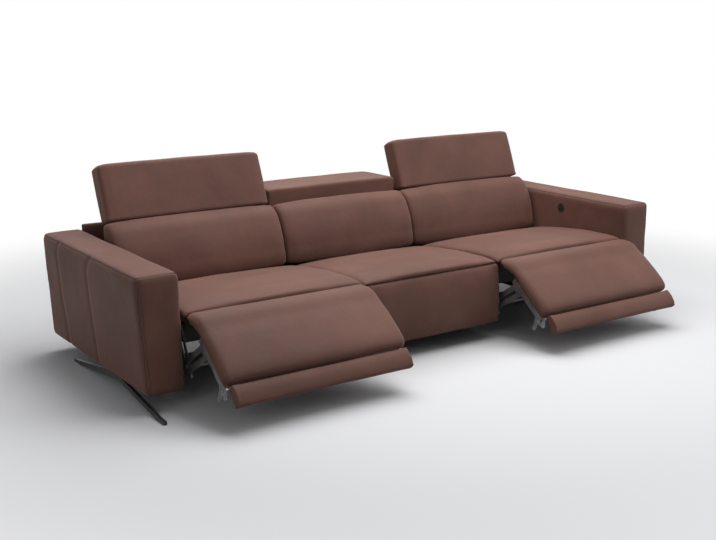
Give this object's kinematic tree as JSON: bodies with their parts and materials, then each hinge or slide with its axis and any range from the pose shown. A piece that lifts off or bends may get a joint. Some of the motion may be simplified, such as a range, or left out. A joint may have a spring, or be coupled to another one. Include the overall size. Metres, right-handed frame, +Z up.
{
  "type": "reclining sofa",
  "caption": "Low three-seat reclining sofa in brown leather with both footrests out, folding headrests, box arms and slim metal skids.",
  "frame": {"origin": "on the floor, at the centre of the sofa's bounding box with both footrests out", "axes": "+X to the right as seen from the front, +Y to the rear, +Z up"},
  "size_m": [2.9984, 1.5299, 0.9029],
  "materials": {
    "leather": "brown nubuck-like leather, matt",
    "zinc_steel": "grey zinc-coated steel plate",
    "black_steel": "black painted steel",
    "skid_steel": "charcoal powder coat, satin",
    "board": "plywood and beech",
    "rod_steel": "ground steel rod",
    "housing_plastic": "black moulded plastic",
    "button": "black moulded plastic",
    "control_metal": "satin aluminium",
    "foot_rubber": "black rubber and plastic",
    "webbing": "elastic webbing"
  },
  "bodies": {
    "root": {"arm_covers": "leather", "arm_frames": "board", "skids": "skid_steel", "feet": "foot_rubber", "base_timbers": "board", "centre_front_panel": "leather", "seat_cushions_side": "leather", "seat_cushion_centre": "leather", "rear_wall": "leather", "side_plates": "black_steel", "cross_members": "black_steel", "seat_webbing": "webbing", "actuator_housings": "housing_plastic", "power_supply": "housing_plastic", "control_plates": "control_metal", "back_cushion_centre": "leather", "back_board_centre": "board", "headrest_ears_centre": "black_steel", "knee_roll_left": "leather", "knee_roll_right": "leather"},
    "drive_link_left": {"drive_links_left": "zinc_steel"},
    "swing_link_left": {"swing_links_left": "zinc_steel"},
    "outer_link_left": {"outer_links_left": "zinc_steel"},
    "inner_link_left": {"inner_links_left": "zinc_steel"},
    "footrest_left": {"footrest_brackets_left": "zinc_steel", "footrest_board_left": "board", "footrest_pad_left": "leather"},
    "flap_neck_left": {"flap_necks_left": "zinc_steel"},
    "flap_left": {"flap_hinges_left": "zinc_steel", "flap_pad_left": "leather"},
    "footrest_rod_left": {"footrest_rod_left": "rod_steel"},
    "back_left": {"back_frame_left": "black_steel", "back_board_left": "board", "back_cushion_left": "leather"},
    "headrest_left": {"headrest_pad_left": "leather", "headrest_arms_left": "black_steel"},
    "recline_rod_left": {"recline_rod_left": "rod_steel"},
    "button_out_left": {"button_out_left": "button"},
    "button_in_left": {"button_in_left": "button"},
    "drive_link_right": {"drive_links_right": "zinc_steel"},
    "swing_link_right": {"swing_links_right": "zinc_steel"},
    "outer_link_right": {"outer_links_right": "zinc_steel"},
    "inner_link_right": {"inner_links_right": "zinc_steel"},
    "footrest_right": {"footrest_brackets_right": "zinc_steel", "footrest_board_right": "board", "footrest_pad_right": "leather"},
    "flap_neck_right": {"flap_necks_right": "zinc_steel"},
    "flap_right": {"flap_hinges_right": "zinc_steel", "flap_pad_right": "leather"},
    "footrest_rod_right": {"footrest_rod_right": "rod_steel"},
    "back_right": {"back_frame_right": "black_steel", "back_board_right": "board", "back_cushion_right": "leather"},
    "headrest_right": {"headrest_pad_right": "leather", "headrest_arms_right": "black_steel"},
    "recline_rod_right": {"recline_rod_right": "rod_steel"},
    "button_out_right": {"button_out_right": "button"},
    "button_in_right": {"button_in_right": "button"},
    "headrest_centre": {"headrest_pad_centre": "leather", "headrest_arms_centre": "black_steel"}
  },
  "joints": [
    {"name": "footrest_lift_left", "type": "hinge", "parent": "root", "child": "drive_link_left", "pos_m": [0, -0.21933, 0.318], "axis": [-1, 0, 0], "range_deg": [-55.5, 0], "deforming": ["knee_roll_left"]},
    {"name": "swing_link_turn_left", "type": "hinge", "parent": "root", "child": "swing_link_left", "pos_m": [0, -0.2644, 0.318], "axis": [-1, 0, 0], "range_deg": [-55.83, 0]},
    {"name": "outer_link_turn_left", "type": "hinge", "parent": "drive_link_left", "child": "outer_link_left", "pos_m": [0, -0.3073, 0.1293], "axis": [-1, 0, 0], "range_deg": [0, 60.2]},
    {"name": "inner_link_turn_left", "type": "hinge", "parent": "drive_link_left", "child": "inner_link_left", "pos_m": [0, -0.2737, 0.154], "axis": [-1, 0, 0], "range_deg": [0, 60.06]},
    {"name": "footrest_turn_left", "type": "hinge", "parent": "outer_link_left", "child": "footrest_left", "pos_m": [0, -0.50451, 0.25493], "axis": [-1, 0, 0], "range_deg": [-55.7, 0]},
    {"name": "flap_neck_turn_left", "type": "hinge", "parent": "footrest_left", "child": "flap_neck_left", "pos_m": [0, -0.6167, 0.11027], "axis": [-1, 0, 0], "range_deg": [0, 46.86]},
    {"name": "flap_turn_left", "type": "hinge", "parent": "flap_neck_left", "child": "flap_left", "pos_m": [0, -0.67893, 0.13507], "axis": [-1, 0, 0], "range_deg": [-215.05, 0]},
    {"name": "footrest_rod_slide_left", "type": "slide", "parent": "root", "child": "footrest_rod_left", "axis": [0, 1, 0], "range_m": [0, 0.171]},
    {"name": "recline_left", "type": "hinge", "parent": "root", "child": "back_left", "pos_m": [0, 0.3068, 0.325], "axis": [-1, 0, 0], "range_deg": [0, 15]},
    {"name": "recline_rod_slide_left", "type": "slide", "parent": "root", "child": "recline_rod_left", "axis": [0, -1, 0], "range_m": [0, 0.0263]},
    {"name": "headrest_tilt_left", "type": "hinge", "parent": "back_left", "child": "headrest_left", "pos_m": [0, 0.5028, 0.647], "axis": [1, 0, 0], "range_deg": [-68, 0]},
    {"name": "button_out_press_left", "type": "slide", "parent": "root", "child": "button_out_left", "axis": [-1, 0, 0], "range_m": [0, 0.0015], "stiffness_N_per_m": 800, "springref_m": -0.001},
    {"name": "button_in_press_left", "type": "slide", "parent": "root", "child": "button_in_left", "axis": [-1, 0, 0], "range_m": [0, 0.0015], "stiffness_N_per_m": 800, "springref_m": -0.001},
    {"name": "footrest_lift_right", "type": "hinge", "parent": "root", "child": "drive_link_right", "pos_m": [0, -0.21933, 0.318], "axis": [-1, 0, 0], "range_deg": [-55.5, 0], "deforming": ["knee_roll_right"]},
    {"name": "swing_link_turn_right", "type": "hinge", "parent": "root", "child": "swing_link_right", "pos_m": [0, -0.2644, 0.318], "axis": [-1, 0, 0], "range_deg": [-55.83, 0]},
    {"name": "outer_link_turn_right", "type": "hinge", "parent": "drive_link_right", "child": "outer_link_right", "pos_m": [0, -0.3073, 0.1293], "axis": [-1, 0, 0], "range_deg": [0, 60.2]},
    {"name": "inner_link_turn_right", "type": "hinge", "parent": "drive_link_right", "child": "inner_link_right", "pos_m": [0, -0.2737, 0.154], "axis": [-1, 0, 0], "range_deg": [0, 60.06]},
    {"name": "footrest_turn_right", "type": "hinge", "parent": "outer_link_right", "child": "footrest_right", "pos_m": [0, -0.50451, 0.25493], "axis": [-1, 0, 0], "range_deg": [-55.7, 0]},
    {"name": "flap_neck_turn_right", "type": "hinge", "parent": "footrest_right", "child": "flap_neck_right", "pos_m": [0, -0.6167, 0.11027], "axis": [-1, 0, 0], "range_deg": [0, 46.86]},
    {"name": "flap_turn_right", "type": "hinge", "parent": "flap_neck_right", "child": "flap_right", "pos_m": [0, -0.67893, 0.13507], "axis": [-1, 0, 0], "range_deg": [-215.05, 0]},
    {"name": "footrest_rod_slide_right", "type": "slide", "parent": "root", "child": "footrest_rod_right", "axis": [0, 1, 0], "range_m": [0, 0.171]},
    {"name": "recline_right", "type": "hinge", "parent": "root", "child": "back_right", "pos_m": [0, 0.3068, 0.325], "axis": [-1, 0, 0], "range_deg": [0, 15]},
    {"name": "recline_rod_slide_right", "type": "slide", "parent": "root", "child": "recline_rod_right", "axis": [0, -1, 0], "range_m": [0, 0.0263]},
    {"name": "headrest_tilt_right", "type": "hinge", "parent": "back_right", "child": "headrest_right", "pos_m": [0, 0.5028, 0.647], "axis": [1, 0, 0], "range_deg": [-68, 0]},
    {"name": "button_out_press_right", "type": "slide", "parent": "root", "child": "button_out_right", "axis": [1, 0, 0], "range_m": [0, 0.0015], "stiffness_N_per_m": 800, "springref_m": -0.001},
    {"name": "button_in_press_right", "type": "slide", "parent": "root", "child": "button_in_right", "axis": [1, 0, 0], "range_m": [0, 0.0015], "stiffness_N_per_m": 800, "springref_m": -0.001},
    {"name": "headrest_tilt_centre", "type": "hinge", "parent": "root", "child": "headrest_centre", "pos_m": [0, 0.5028, 0.647], "axis": [1, 0, 0], "range_deg": [0, 68]}
  ],
  "couplings": [
    {"joint": "swing_link_turn_left", "follows": "footrest_lift_left", "ratio": 1.0006},
    {"joint": "outer_link_turn_left", "follows": "footrest_lift_left", "ratio": -1.0793},
    {"joint": "inner_link_turn_left", "follows": "footrest_lift_left", "ratio": -1.0768},
    {"joint": "footrest_turn_left", "follows": "footrest_lift_left", "ratio": 0.99824},
    {"joint": "flap_neck_turn_left", "follows": "footrest_lift_left", "ratio": -0.83892},
    {"joint": "flap_turn_left", "follows": "footrest_lift_left", "ratio": 3.8694},
    {"joint": "footrest_rod_slide_left", "follows": "footrest_lift_left", "m_per_rad": -0.17592},
    {"joint": "recline_rod_slide_left", "follows": "recline_left", "m_per_rad": 0.098862},
    {"joint": "swing_link_turn_right", "follows": "footrest_lift_right", "ratio": 1.0006},
    {"joint": "outer_link_turn_right", "follows": "footrest_lift_right", "ratio": -1.0793},
    {"joint": "inner_link_turn_right", "follows": "footrest_lift_right", "ratio": -1.0768},
    {"joint": "footrest_turn_right", "follows": "footrest_lift_right", "ratio": 0.99824},
    {"joint": "flap_neck_turn_right", "follows": "footrest_lift_right", "ratio": -0.83892},
    {"joint": "flap_turn_right", "follows": "footrest_lift_right", "ratio": 3.8694},
    {"joint": "footrest_rod_slide_right", "follows": "footrest_lift_right", "m_per_rad": -0.17592},
    {"joint": "recline_rod_slide_right", "follows": "recline_right", "m_per_rad": 0.098862}
  ]
}
